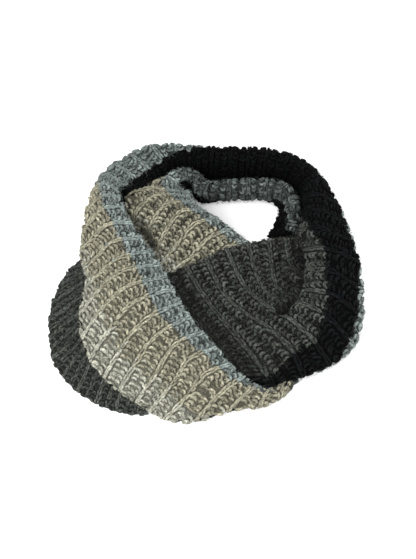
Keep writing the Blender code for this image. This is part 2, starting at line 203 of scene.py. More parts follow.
# %% Sections
BELLY_FINE = 8             # steps from the table up to the low edge, and down from the lip
SPAN_FINE = 12             # steps between two named places of a section
UNDER_FINE = 12            # steps across the underside
UNDER_HEIGHT = 1.6         # mm from the table to the underside's cloth
RISE_AT = BELLY_FINE + SPAN_FINE
LIP_AT = BELLY_FINE + 3 * SPAN_FINE


def section_points(low, rise, crown, lip, toe, heel):
    """One section, from the foot on the low side over the crown to the foot under the lip."""
    across = np.array([low, rise, crown, lip])
    lengths = np.linalg.norm(np.diff(across, axis=0), axis=1)
    places = np.concatenate([[0.0], np.cumsum(lengths)])
    steps = []
    for begin, end in zip(places[:-1], places[1:]):
        steps.extend(np.linspace(begin, end, SPAN_FINE, endpoint=False))
    steps.append(places[-1])
    top = smooth_through(places, across, steps)
    inward = (rise - low)[:2] / np.linalg.norm((rise - low)[:2])
    low_foot = np.array([*(low[:2] + inward * toe), 0.0])
    outward = (crown - lip)[:2] / np.linalg.norm((crown - lip)[:2])
    lip_foot = np.array([*(lip[:2] + outward * heel), 0.0])
    # the sides bulge: near the table they go outwards faster than they rise
    shares = np.linspace(0.0, 1.0, BELLY_FINE + 1)[:-1]
    low_side = [low_foot + (low - low_foot) * np.array([s ** 0.5, s ** 0.5, s]) for s in shares]
    lip_side = [lip_foot + (lip - lip_foot) * np.array([s ** 0.5, s ** 0.5, s]) for s in shares]
    return np.vstack([low_side, top, lip_side[::-1]])


def with_underside(section):
    """Carry the section on below, from the foot under the lip back to the foot under the low side."""
    begin, end = section[-1], section[0]
    shares = np.linspace(0, 1, UNDER_FINE + 1)[1:, None]
    path = begin[:2] + (end - begin)[:2] * shares
    return np.vstack([section, np.hstack([path, np.full_like(shares, UNDER_HEIGHT)])])


def turn_sections(table, places):
    """All the sections of one turn, underside and all, at these places along it."""
    ribs = [row.rib for row in table]
    ahead = np.interp(places, *zip(*SLANT)) if table is OUTER_TURN else np.zeros(len(places))
    columns = [smooth_through(ribs, [getattr(row, name) for row in table],
                              places + ahead * SLANT_SHARES.get(name, 0.0))
               for name in Section._fields[1:]]
    return np.array([with_underside(section_points(*parts)) for parts in zip(*columns)])


print("a section's curve has", LIP_AT + BELLY_FINE + UNDER_FINE + 1, "points")

# %% [markdown]
# ## From sections to cloth
#
# A knitter counts two ways: ribs round the loop, and rows from the cast-on edge to the cast-off edge.
# So a cloth is held as grids by rib and by row: where each point lies, which way is outwards, and how
# far apart the ribs are there. Blender's own UV maps could carry rib and row too, but plain grids can
# be read between their points, which is what bends the stitches later.

# %% Cloth as grids by rib and by row
FINE = 12                  # stations for each rib
ACROSS_STEP = 1.5          # mm between points across the knitting
# first and start: the grids' first rib and row. pitch: mm to the next rib. slip: mm that the next rib
# lies further up the band. low, foot and high: the rows of the low side's foot, of the foot under the
# lip and of the underside's end, at each station
Cloth = namedtuple("Cloth", "first start points outward pitch slip low foot high")


def stations(first, last):
    """Places along a turn, evenly from its first rib to its last."""
    return first + np.arange(round((last - first) * FINE) + 1) / FINE


def lengths_along(sections):
    """How much knitting lies between each section's start and each of its points, in mm."""
    steps = np.linalg.norm(np.diff(sections, axis=1), axis=2)
    return np.concatenate([np.zeros((len(sections), 1)), np.cumsum(steps, axis=1)], axis=1)


def cloth_of(sections, places, starts):
    """Read the sections again at even steps across the knitting, whatever their own spacing."""
    lengths = lengths_along(sections)
    low = starts
    foot = starts + lengths[:, -1 - UNDER_FINE]
    high = starts + lengths[:, -1]
    across = np.arange(math.floor(low.min()), high.max() + ACROSS_STEP, ACROSS_STEP)
    points = np.array([[np.interp(across, start + length, section[:, axis]) for axis in range(3)]
                       for section, length, start in zip(sections, lengths, starts)])
    points = points.transpose(0, 2, 1)
    along = np.gradient(points, places, axis=0)
    over = np.gradient(points, across, axis=1)
    outward = np.cross(along, over)
    outward /= np.maximum(np.linalg.norm(outward, axis=2), 1e-6)[:, :, None]
    # one rib further is so far up the band, and so far square to the rib
    over /= np.maximum(np.linalg.norm(over, axis=2), 1e-6)[:, :, None]
    slip = (along * over).sum(axis=2)
    pitch = np.linalg.norm(along - over * slip[:, :, None], axis=2)
    return Cloth(places[0], across[0], points, outward, pitch, slip, low, foot, high)


print("stations for each rib:", FINE)

# %% [markdown]
# ## Anywhere on the cloth
#
# A stitch seldom lies on a point of the grids, so they are read between their points: each value is a
# mix of the four around it. The nearest point alone would do for colour, but a stitch bent that way
# would show steps.

# %% Read the grids between their points
def read(cloth, values, ribs, rows):
    """What one of the cloth's grids says at these ribs and rows."""
    x = np.clip((ribs - cloth.first) * FINE, 0, values.shape[0] - 1.001)
    y = np.clip((rows - cloth.start) / ACROSS_STEP, 0, values.shape[1] - 1.001)
    i, j = x.astype(int), y.astype(int)
    u, v = x - i, y - j
    if values.ndim == 3:
        u, v = u[..., None], v[..., None]
    return (values[i, j] * (1 - u) * (1 - v) + values[i + 1, j] * u * (1 - v)
            + values[i, j + 1] * (1 - u) * v + values[i + 1, j + 1] * u * v)


print("a grid is read between its points, which lie", ACROSS_STEP, "mm apart across the band")

# %% [markdown]
# ## Where the stripes lie
#
# The stripes follow the rows, from cream at the cast-on edge to dark grey at the cast-off edge, 340 mm
# further up. Colour by height above the table wouldn't do, because the band rolls over as it goes
# round. So every section gets a mark: how many millimetres of knitting lie between the cast-on edge
# and one named place of it. The rest of the section follows by its length, as cloth that is bent and
# not stretched does.

# %% The two turns of the band
# marks: rib, and millimetres from the cast-on edge, at the rise or at the lip
OUTER_AT_RISE = ((-1.0, 200), (3.0, 200), (3.7, 187), (6.2, 186), (7.0, 200), (9.7, 190), (11.0, 180),
                 (12.0, 170), (14.2, 162), (15.8, 160), (17.0, 152), (18.0, 144), (19.4, 131),
                 (20.4, 122), (21.4, 117), (22.2, 115), (41.6, 115))
OUTER_AT_LIP = ((-1.0, 143), (6.6, 143), (7.3, 152), (12.0, 152), (14.0, 143), (23.0, 143),
                (25.0, 129), (28.0, 129), (31.0, 136), (33.0, 135), (35.0, 127), (37.0, 120),
                (39.0, 111), (41.6, 103))
# the rows from black on are pulled apart or pushed together on the outer turn: how many times their
# even distance they lie apart, rib by rib
OUTER_SPREAD = ((-1.0, 0.7), (1.2, 0.8), (2.4, 0.95), (3.4, 0.78), (6.2, 0.82), (7.2, 1.0), (7.8, 1.1),
                (8.6, 1.2), (8.9, 1.6), (41.6, 1.6))
LIP_MARKS = (22.2, 23.0)   # between these ribs the lip's marks take over from the rise's
INNER_AT_LIP = ((0.6, 138), (3.2, 138), (4.0, 112), (6.4, 112), (7.4, 130), (8.0, 135),
                (11.0, 136), (12.0, 131), (13.0, 124), (14.0, 121), (16.0, 120), (18.0, 116))

outer_places = stations(OUTER_TURN[0].rib, OUTER_TURN[-1].rib)
outer_sections = turn_sections(OUTER_TURN, outer_places)
outer_lengths = lengths_along(outer_sections)
by_rise = np.interp(outer_places, *zip(*OUTER_AT_RISE)) - outer_lengths[:, RISE_AT]
by_lip = np.interp(outer_places, *zip(*OUTER_AT_LIP)) - outer_lengths[:, LIP_AT]
change = np.clip((outer_places - LIP_MARKS[0]) / (LIP_MARKS[1] - LIP_MARKS[0]), 0, 1)
outer = cloth_of(outer_sections, outer_places, by_rise * (1 - change) + by_lip * change)

inner_places = stations(INNER_TURN[0].rib, INNER_TURN[-1].rib)
inner_sections = turn_sections(INNER_TURN, inner_places)
inner_lengths = lengths_along(inner_sections)
inner = cloth_of(inner_sections, inner_places,
                 np.interp(inner_places, *zip(*INNER_AT_LIP)) - inner_lengths[:, LIP_AT])
print("outer and inner turn, stations, steps and axes:", outer.points.shape, inner.points.shape)

# %% [markdown]
# ## The layer underneath
#
# At the front the doubled band has slid apart, and its lower layer shows past the cream edge: a single
# layer of knitting with a rounded cast-off edge. It could be one more turn like the others, but it has
# no crown or lip, so it gets a simpler section. It is the far side of the same knitting, so its rows
# count down from that edge.

# %% The layer underneath
FAR_EDGE = 340.0           # the cast-off edge, in millimetres from the cast-on edge


def layer_section(out, end):
    """One section, from its foot round the outer edge and in to the line where it is tucked under.

    The edge is rounded within 4 mm."""
    inward = (end - out) / np.linalg.norm(end - out)
    lift = UNDER_LAYER_THICKNESS
    path = [
        [*(out + inward * 1.5), 0.0],
        [*out, lift * 0.35],
        [*(out + inward * 1.2), lift * 0.8],
        [*(out + inward * 4.0), lift],
        [*(out * 0.5 + end * 0.5), lift],
        [*end, lift],
    ]
    places = np.concatenate([[0.0], np.cumsum(np.linalg.norm(np.diff(path, axis=0), axis=1))])
    steps = np.linspace(0, places[-1], LIP_AT + BELLY_FINE + 1)
    return with_underside(np.array([np.interp(steps, places, column) for column in zip(*path)]).T)


layer_places = stations(UNDER_LAYER[0].rib, UNDER_LAYER[-1].rib)
layer_ribs = [row.rib for row in UNDER_LAYER]
layer_behind = layer_places - np.interp(layer_places, *zip(*LAYER_SLANT))
layer_sections = np.array([layer_section(out, end) for out, end in zip(
    smooth_through(layer_ribs, [row.edge for row in UNDER_LAYER], layer_places),
    smooth_through(layer_ribs, [row.tuck for row in UNDER_LAYER], layer_behind))])
lower = cloth_of(layer_sections, layer_places, np.full(len(layer_places), -FAR_EDGE))
print("layer underneath:", lower.points.shape)

# %% [markdown]
# ## The yarns
#
# Each band is another dye of the same plied wool, so the five differ in colour only, and in how much
# light and dark fibre is mixed in. The order is the order of the stripes, from the cast-on edge. A
# colour ramp could hold them too, but every stitch is made of one yarn, also where two stripes meet.

# %% Yarns
# until: the row where its stripe ends, in mm. heather: how far its fibres differ from one another
Yarn = namedtuple("Yarn", "slot until colour heather")
YARNS = (
    Yarn("cream_wool", 45.0, (0.318, 0.318, 0.262), 0.6),
    Yarn("beige_wool", 105.0, (0.252, 0.240, 0.178), 0.65),
    Yarn("blue_grey_wool", 143.0, (0.178, 0.208, 0.199), 0.6),
    Yarn("black_wool", 200.0, (0.0040, 0.0044, 0.0047), 0.80),
    Yarn("dark_grey_wool", 400.0, (0.043, 0.046, 0.041), 0.9),
)
print("stripes end at", [yarn.until for yarn in YARNS], "mm")

# %% [markdown]
# ## Heathered fibres
#
# Wool is spun from lighter and darker fibres, which lie along the strand. An image of knitting would
# repeat, and it would lie flat where the stitches bend. So noise that follows each strand's own UVs
# makes it lighter and darker, and the shade that each stitch carries comes on top. All five yarns
# share this, so it is a node group.

# %% Heather, as a node group
def group(name, inputs, outputs):
    """A new node group with these sockets, and its two ends."""
    tree = bpy.data.node_groups.new(name, "ShaderNodeTree")
    for label, kind, default in inputs:
        socket = tree.interface.new_socket(label, in_out="INPUT", socket_type=kind)
        socket.default_value = default
    for label, kind in outputs:
        tree.interface.new_socket(label, in_out="OUTPUT", socket_type=kind)
    return tree, tree.nodes.new("NodeGroupInput"), tree.nodes.new("NodeGroupOutput")


def heather_group():
    """Colour out: the dye with its fibres lighter and darker, under each strand's own shade."""
    tree, given, out = group(
        "heather",
        [("Dye", "NodeSocketColor", (0.5, 0.5, 0.5, 1)), ("Mix", "NodeSocketFloat", 0.2)],
        [("Color", "NodeSocketColor")])
    uv = tree.nodes.new("ShaderNodeUVMap")
    uv.uv_map = "yarn"
    stretch = tree.nodes.new("ShaderNodeMapping")
    stretch.inputs["Scale"].default_value = (0.8, 1.5, 1.0)
    fibres = tree.nodes.new("ShaderNodeTexNoise")
    fibres.inputs["Scale"].default_value = 2.4
    fibres.inputs["Detail"].default_value = 4.0
    fibres.inputs["Roughness"].default_value = 0.7
    swing = tree.nodes.new("ShaderNodeMapRange")
    swing.inputs["From Min"].default_value = 0.36
    swing.inputs["From Max"].default_value = 0.64
    swing.inputs["To Min"].default_value = -1.0
    swing.inputs["To Max"].default_value = 1.0
    amount = tree.nodes.new("ShaderNodeMath")
    amount.operation = "MULTIPLY_ADD"
    amount.inputs[2].default_value = 1.0
    shade = tree.nodes.new("ShaderNodeAttribute")
    shade.attribute_name = "shade"
    both = tree.nodes.new("ShaderNodeMath")
    both.operation = "MULTIPLY"
    lit = tree.nodes.new("ShaderNodeVectorMath")
    lit.operation = "SCALE"
    tree.links.new(uv.outputs["UV"], stretch.inputs["Vector"])
    tree.links.new(stretch.outputs["Vector"], fibres.inputs["Vector"])
    tree.links.new(fibres.outputs["Fac"], swing.inputs["Value"])
    tree.links.new(swing.outputs["Result"], amount.inputs[0])
    tree.links.new(given.outputs["Mix"], amount.inputs[1])
    tree.links.new(amount.outputs["Value"], both.inputs[0])
    tree.links.new(shade.outputs["Fac"], both.inputs[1])
    tree.links.new(given.outputs["Dye"], lit.inputs["Vector"])
    tree.links.new(both.outputs["Value"], lit.inputs["Scale"])
    tree.links.new(lit.outputs["Vector"], out.inputs["Color"])
    return tree


HEATHER = heather_group()
print(HEATHER.name, "has", len(HEATHER.nodes), "nodes")

# %% [markdown]
# ## Twisted plies
#
# The yarn is twisted from several plies, whose slanting lines show on every stitch. They could be
# modelled as strands of their own, with many times the faces. Lines of a wave texture, turned a little
# on the strand's UVs, give them as a small relief.

# %% Plies, as a node group
def plies_group():
    """Normal out: the slanting relief of twisted plies, from the strand's own length and girth."""
    tree, given, out = group(
        "plies", [("Depth", "NodeSocketFloat", 0.5)], [("Normal", "NodeSocketVector")])
    uv = tree.nodes.new("ShaderNodeUVMap")
    uv.uv_map = "yarn"
    slant = tree.nodes.new("ShaderNodeMapping")
    slant.inputs["Rotation"].default_value = (0.0, 0.0, 0.6)
    lines = tree.nodes.new("ShaderNodeTexWave")
    lines.inputs["Scale"].default_value = 0.9
    lines.inputs["Distortion"].default_value = 1.2
    lines.inputs["Detail"].default_value = 2.0
    relief = tree.nodes.new("ShaderNodeBump")
    relief.inputs["Distance"].default_value = 0.001
    tree.links.new(uv.outputs["UV"], slant.inputs["Vector"])
    tree.links.new(slant.outputs["Vector"], lines.inputs["Vector"])
    tree.links.new(lines.outputs["Fac"], relief.inputs["Height"])
    tree.links.new(given.outputs["Depth"], relief.inputs["Strength"])
    tree.links.new(relief.outputs["Normal"], out.inputs["Normal"])
    return tree


PLIES = plies_group()
print(PLIES.name, "has", len(PLIES.nodes), "nodes")

# %% [markdown]
# ## Wool
#
# Wool scatters light in its fibres, so it is matt with a soft glow at grazing angles: high roughness
# and a little sheen, tinted by its dye. Subsurface light would be closer to what happens in the
# fibres, but it takes longer and hardly shows on dark wool.

# %% One material for each yarn
def wool(yarn):
    """One yarn's material: matt, with a little sheen, heathered and plied."""
    material = bpy.data.materials.new(yarn.slot)
    material.use_nodes = True
    tree = material.node_tree
    shader = tree.nodes["Principled BSDF"]
    shader.inputs["Roughness"].default_value = 0.95
    shader.inputs["Sheen Weight"].default_value = 0.12
    shader.inputs["Sheen Roughness"].default_value = 0.5
    shader.inputs["Sheen Tint"].default_value = (*[part ** 0.8 for part in yarn.colour], 1.0)
    shader.inputs["Specular IOR Level"].default_value = 0.08
    heather = tree.nodes.new("ShaderNodeGroup")
    heather.node_tree = HEATHER
    heather.inputs["Dye"].default_value = (*yarn.colour, 1.0)
    heather.inputs["Mix"].default_value = yarn.heather
    plies = tree.nodes.new("ShaderNodeGroup")
    plies.node_tree = PLIES
    tree.links.new(heather.outputs["Color"], shader.inputs["Base Color"])
    tree.links.new(plies.outputs["Normal"], shader.inputs["Normal"])
    return material


WOOLS = {yarn.slot: wool(yarn) for yarn in YARNS}
print("yarns:", ", ".join(WOOLS))

# %% [markdown]
# ## Which yarn a stitch is made of
#
# A new yarn starts with a new row, so stripes end sharply, give or take a stitch that is pulled up or
# down. Cream and beige run into each other, as in a yarn that was dyed in stages. A soft mix of their
# colours would look airbrushed, so each stitch there takes one yarn or the other by chance.

# %% Stripes
STRIPE_ENDS = np.array([yarn.until for yarn in YARNS])
SOFT_UNTIL = 85.0          # up to this row two yarns run into each other, as cream and beige do
SOFT_CHANGE = 9.0          # mm over which they do
SHARP_CHANGE = 0.8         # mm over which the others do


def stripe(rows):
    """Which yarn was on the needles, by the distance from the cast-on edge."""
    return np.clip(np.searchsorted(STRIPE_ENDS, np.abs(rows)), 0, len(YARNS) - 1)


print("100 mm from the cast-on edge:", YARNS[int(stripe(100.0))].slot)

# %% [markdown]
# ## A length of yarn
#
# Every stitch shows about a centimetre of yarn, so its template is a small grid, rolled into a tube
# round the path that yarn takes, with its seam underneath. A curve with a round bevel would give much
# the same tube, but on a grid every point says how far along the yarn it lies, which the plies follow.
# Width runs along the band, height across it, and lift away from it.

# %% Roll a length of yarn
END_GIRTH = 0.6            # how thin a length of yarn is at its ends, which pass behind a neighbour
NEARBY = 0.01              # share of its length from a point to those that give its direction
Template = namedtuple("Template", "points faces uvs")


def yarn_template(name, steps, sides, path, thickness):
    """Roll a grid into a tube of yarn. path gives width, height and lift at a share of its length."""
    roll = bmesh.new()
    bmesh.ops.create_grid(roll, x_segments=steps, y_segments=sides, size=0.5)
    roll.verts.ensure_lookup_table()
    shares = np.array([vert.co.x for vert in roll.verts]) + 0.5
    turns = np.array([vert.co.y for vert in roll.verts]) + 0.5
    middle = np.array([path(share) for share in shares])
    ahead = np.array([path(share + NEARBY) for share in shares])
    behind = np.array([path(share - NEARBY) for share in shares])
    forward = ahead - behind
    forward /= np.linalg.norm(forward, axis=1)[:, None]
    sideways = np.cross(forward, [0.0, 0.0, 1.0])
    sideways /= np.linalg.norm(sideways, axis=1)[:, None]
    upward = np.cross(sideways, forward)
    angle = (turns * 2 - 0.5) * math.pi
    bulge = np.sin(np.pi * np.clip(shares, 0, 1)) ** 0.5
    girth = thickness / 2 * (END_GIRTH + (1 - END_GIRTH) * bulge)
    points = (middle + sideways * (np.cos(angle) * girth)[:, None]
              + upward * (np.sin(angle) * girth)[:, None])
    for vert, point in zip(roll.verts, points):
        vert.co = point
    faces = np.array([[vert.index for vert in face.verts] for face in roll.faces])
    roll.free()
    print(name, len(faces), "faces")
    return Template(points, faces, np.stack([shares * 3.0, turns], axis=1))


print("a length of yarn is", END_GIRTH, "as thick at its ends as in its middle")

# %% [markdown]
# ## One stitch at a time
#
# A chunky rib shows two kinds of stitch. On the ridge a column of knit stitches lies like a chain of
# V's, whose two legs read as a pair of smooth lines. In the channel beside it the same yarn shows its
# back: two columns of short humps, half a row apart, with dark holes between them, and low rungs that
# cross behind. One yarn could be led through all its loops, as on the needles, but most of it would be
# out of sight. So only what shows of each loop is made.

# %% Templates of a knit leg, a purl hump and a rung
YARN_THICKNESS = 3.3       # mm
ROW = 6.0                  # mm of height that one row adds


def leg_path(share):
    """Half of a V: out of the stitch below, leaning out, and in behind the stitch above."""
    return (0.5 + 0.9 * math.sin(math.pi * (0.12 + 0.58 * share)),
            ROW * (-0.3 + 1.3 * share),
            -1.5 + 1.4 * math.sin(math.pi * share))


def hump_path(share):
    """The back of a stitch: up from behind, over, and down again."""
    swing = math.pi * share
    return (-2.5 * math.cos(swing), 2.9 * math.sin(swing) - 1.45, -2.2 + 2.7 * math.sin(swing))


def rung_path(share):
    """The yarn that crosses the channel low down, between one hump and the next."""
    return (-6.0 + 12.0 * share,
            0.8 * math.sin(2 * math.pi * share),
            -2.9 + 0.7 * math.sin(math.pi * share))


LEG = yarn_template("knit leg", 6, 5, leg_path, YARN_THICKNESS * 0.9)
HUMP = yarn_template("purl hump", 8, 5, hump_path, YARN_THICKNESS * 1.08)
RUNG = yarn_template("rung", 5, 5, rung_path, YARN_THICKNESS)
FLAT_LEG = yarn_template("knit leg of the underside", 3, 4, leg_path, YARN_THICKNESS)
FLAT_HUMP = yarn_template("purl hump of the underside", 4, 4, hump_path, YARN_THICKNESS)
print("yarn:", YARN_THICKNESS, "mm thick, a row every", ROW, "mm")

# %% [markdown]
# ## The columns of one rib
#
# A rib repeats, so it is enough to say once which columns of stitches it has. An Array modifier could
# repeat them, but every stitch would then be the same. The ridge's legs lie evenly, and the humps
# beside them are looser, as in any hand knitting.

# %% Columns that repeat on every rib
# place as a share of the rib, rows of offset, template on top, template underneath, mirrored or not,
# lean, how loosely the stitches lie, how much later a new yarn shows there, in mm, the share of the
# stitches that is made, how far they gather in with the rib where it is narrow, and how light they
# are painted, as light or shade falls on them
Column = namedtuple("Column", "place shift top under mirror lean loose lag seen gather light")
COLUMNS = (
    Column(0.0, 0.0, LEG, FLAT_LEG, -1.0, 0.0, 0.7, -0.5, 1.0, 0.4, 1.0),
    Column(0.0, 0.0, LEG, FLAT_LEG, 1.0, 0.0, 0.7, -0.5, 1.0, 0.4, 1.0),
    Column(0.29, 0.0, HUMP, FLAT_HUMP, 1.0, 0.2, 1.15, 0.0, 0.97, 1.0, 1.0),
    Column(0.71, 0.5, HUMP, FLAT_HUMP, 1.0, -0.2, 1.15, 0.0, 0.97, 1.0, 1.0),
    Column(0.5, 0.25, RUNG, None, 1.0, 0.0, 1.3, 0.0, 0.8, 1.0, 1.0),
)
# the under layer shows the band's other face: its ridges lie closer together, their legs painted
# lighter, as light falls on them, and the humps in the channels painted darker, as shade
LAYER_COLUMNS = (
    Column(0.0, 0.0, LEG, FLAT_LEG, -1.0, 0.0, 0.8, 0.0, 1.0, 0.4, 1.35),
    Column(0.0, 0.0, LEG, FLAT_LEG, 1.0, 0.0, 0.8, 0.0, 1.0, 0.4, 1.35),
    Column(0.5, 0.0, LEG, FLAT_LEG, -1.0, 0.0, 0.8, 0.0, 1.0, 0.4, 1.1),
    Column(0.5, 0.0, LEG, FLAT_LEG, 1.0, 0.0, 0.8, 0.0, 1.0, 0.4, 1.1),
    Column(0.25, 0.5, HUMP, FLAT_HUMP, 1.0, 0.2, 1.0, 0.0, 0.9, 2.0, 0.75),
    Column(0.75, 0.0, HUMP, FLAT_HUMP, 1.0, -0.2, 1.0, 0.0, 0.9, 2.0, 0.75),
)
print(len(COLUMNS), "columns on a rib, and", len(LAYER_COLUMNS), "on one of the layer underneath")

# %% [markdown]
# ## Creases
#
# A cloth simulation would find folds of its own, but these four are the ones that this scarf has as
# it lies, so they are laid in one by one, as soft troughs in the cloth's own sizes: the fold under the
# flap by the neck hole, the roll that leads up to it, the hairpin's fold, and the dip where the inner
# turn goes under the front's lip.

# %% Troughs in the cloth
# at each rib, how far a trough lies from the cast-on edge, how deep and how wide it is, all in mm
Crease = namedtuple("Crease", "rib row depth width")
FLAP_FOLD = (
    Crease(2.1, 268, 0.0, 3.5),
    Crease(2.5, 257, 5.0, 3.5),
    Crease(3.0, 245, 8.0, 3.5),
    Crease(3.6, 230, 9.0, 3.5),
    Crease(4.4, 226, 9.0, 3.5),
    Crease(5.3, 225, 9.0, 3.5),
    Crease(5.8, 224, 9.0, 3.5),
    Crease(6.4, 226, 9.0, 3.5),
    Crease(7.1, 237, 9.0, 3.5),
    Crease(7.4, 247, 5.0, 3.5),
    Crease(7.9, 250, 0.0, 3.5),
)
# a ridge is a trough of negative depth
FLAP_ROLL = tuple(Crease(fold.rib, fold.row - 15, -fold.depth * 0.45, 9.0) for fold in FLAP_FOLD)
HAIRPIN_FOLD = (
    Crease(8.7, 143, 0.0, 4.0),
    Crease(9.1, 142, 7.0, 4.0),
    Crease(9.6, 139, 9.0, 4.0),
    Crease(10.1, 134, 9.0, 4.0),
    Crease(10.7, 129, 8.0, 4.0),
    Crease(11.1, 125, 0.0, 4.0),
)
INNER_DIP = (
    Crease(11.3, 46, 0.0, 7.0),
    Crease(12.0, 46, 6.0, 7.0),
    Crease(12.6, 45, 9.0, 7.0),
    Crease(13.2, 44, 9.0, 7.0),
    Crease(13.8, 41, 8.0, 6.0),
    Crease(14.6, 40, 0.0, 6.0),
)
CREASES = ((outer, FLAP_FOLD), (outer, FLAP_ROLL), (inner, HAIRPIN_FOLD), (inner, INNER_DIP))


def dent(creases, ribs, rows):
    """The depth of one trough at these places, deepest on its line and nothing far from it."""
    marks = [crease.rib for crease in creases]
    row, depth, width = (np.interp(ribs, marks, [getattr(crease, name) for crease in creases])
                         for name in ("row", "depth", "width"))
    return depth * np.exp(-((rows - row) / width) ** 2)


def trough(cloth, ribs, rows):
    """How far the cloth dips at these places, all its troughs together."""
    dip = np.zeros(np.shape(rows))
    for folded, creases in CREASES:
        if folded is not cloth:
            continue
        dip = dip + dent(creases, ribs, rows)
    return dip


print("troughs:", len(CREASES))

# %% [markdown]
# ## Shade that the cloth keeps
#
# Deep in a fold, wool is darker than soft studio light alone makes it, because the fibres there lie in
# one another's shade. Fibres as fine as that can't all be modelled. So each stitch carries its own
# shade, as an attribute that its material reads. It belongs to the cloth, so it stays where it is from
# any side.

# %% Shade in the folds
CREASE_SHADE = 0.85        # how much darker the cloth is at the bottom of a deep crease
SHADE_FROM = 1.0           # mm of depth where this starts
SHADE_OVER = 7.0           # mm more where it is complete
# the flap hangs over the cloth beside its fold: here depth is the share of the light that it keeps off
FLAP_SHADOW = (
    Crease(2.9, 252, 0.0, 10.0),
    Crease(3.7, 241, 0.5, 11.0),
    Crease(5.3, 236, 0.55, 11.0),
    Crease(6.6, 237, 0.55, 11.0),
    Crease(7.5, 248, 0.0, 10.0),
)
# and the wall that the outer turn makes behind the hole faces away from the light
WALL_SHADOW = (
    Crease(10.8, 215, 0.0, 24.0),
    Crease(12.5, 212, 0.7, 26.0),
    Crease(15.0, 208, 0.75, 26.0),
    Crease(18.5, 204, 0.75, 28.0),
    Crease(20.5, 200, 0.0, 28.0),
)
# the outer turn's first ribs lie deep beside the front's lip, where little light comes
LIP_SHADE = ((-1.0, 0.25), (0.2, 0.35), (0.8, 0.75), (1.4, 1.0), (41.6, 1.0))


def crease_shade(cloth, ribs, rows):
    """How light the cloth is at these places, as a share of what it is in the open."""
    deep = np.clip((trough(cloth, ribs, rows) - SHADE_FROM) / SHADE_OVER, 0.0, 1.0)
    shade = 1 - CREASE_SHADE * deep
    if cloth is outer:
        shade = shade * np.interp(ribs, *zip(*LIP_SHADE))
        for shadow in (FLAP_SHADOW, WALL_SHADOW):
            shade = shade * (1 - dent(shadow, ribs, rows))
    return shade


print("the wall behind the hole keeps", 1 - WALL_SHADOW[2].depth, "of its light")

# %% [markdown]
# ## Shade between the stitches
#
# Yarn also dips between its neighbours, and there it is darker than on top, the more so the closer the
# knitting. An ambient occlusion node would find this by itself, but it works in the renderer only and
# is lost on the way to other programs. So it is worked out from how high a point of the stitch lies.

# %% Shade in the gaps
GAP_TOP = 0.5              # mm of lift below which yarn lies in the gaps
GAP_DEPTH = 2.4            # mm further down is the bottom


def gap_shade(template, gaps):
    """Yarn that dips between its neighbours is darker: how much light each of its points keeps."""
    return 1 - gaps * np.clip((GAP_TOP - template.points[:, 2]) / GAP_DEPTH, 0.0, 1.0)


print("a leg's darkest point keeps", round(float(gap_shade(LEG, 1.0).min()), 2), "of its light")

# %% [markdown]
# ## Where the scarf passes under itself
#
# Nobody sees the stitches that lie inside a fold or under the next turn, and there they would run into
# one another. Each could be tested against the camera, but the scarf is to be seen from all sides. So
# a stitch is kept only if its own solid has a surface there, because the solids are cut back where
# they meet.

# %% What each solid's surface keeps
KEEP_NEAR = 4.5            # mm from a stitch to its own solid's surface


def surface_tree(node):
    """A solid's surface, ready to be asked what lies near a point."""
    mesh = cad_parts[node].data
    return BVHTree.FromPolygons([vert.co.copy() for vert in mesh.vertices],
                                [tuple(face.vertices) for face in mesh.polygons])


def near_surface(tree, points, reach):
    """Which of the points have some of the surface within reach."""
    return np.array([tree.find_nearest(Vector(point), reach)[0] is not None for point in points])


def in_frame(points):
    """From millimetres on the tables' own grid to metres in the frame."""
    return (points - CENTRE) * MM


print("a stitch is kept within", KEEP_NEAR, "mm of its own solid's surface")

# %% [markdown]
# ## Laying the stitches on the form
#
# Every stitch has a place: its rib and its row. Its template is bent onto the cloth by reading the
# form under each of its points, so stitches lean, spread and gather with the fabric. A Curve modifier
# bends along one line only, and this cloth bends both ways. The ribs' ridges are raised here too, less
# high where they are gathered, pulled round a steep side, or pressed on the table.

# %% Bend the stitches onto the cloth
RIB_RISE = 2.1             # a rib's ridge above the cloth between two ribs, in mm
RIB_HALF_WIDTH = 0.26      # of the pitch from one rib to the next
FULL_PITCH = 18.0          # mm: ribs gathered closer than this stand less high
REST_HEIGHT = 6.0          # mm above the table: below this the ribs get flatter
LOWEST = 0.15              # mm above the table for any yarn
LEAST_PITCH = 5.0          # mm: stitches are never squeezed into less than this from rib to rib
MOST_SLIP = 1.5            # mm up the band for each mm along it, however the cloth is skewed
LEAST_RISE = 0.3           # of a rib's rise is left however closely ribs are gathered
STRETCHED = 0.2            # of it is left where the cloth is pulled round a steep side
LEVEL = 1.5                # ribs stand fully where the outward direction's height times this is over 1
SINK = 1.2                 # mm that the yarn's path lies under the form, so its top is level with it
# one value for each stitch: its place, 1 or -1 where it is mirrored, its size along and across the
# band as a share of the template's, lift in mm, turn in radians, and how light it is
Stitches = namedtuple("Stitches", "ribs rows mirror width height lift turn shade")


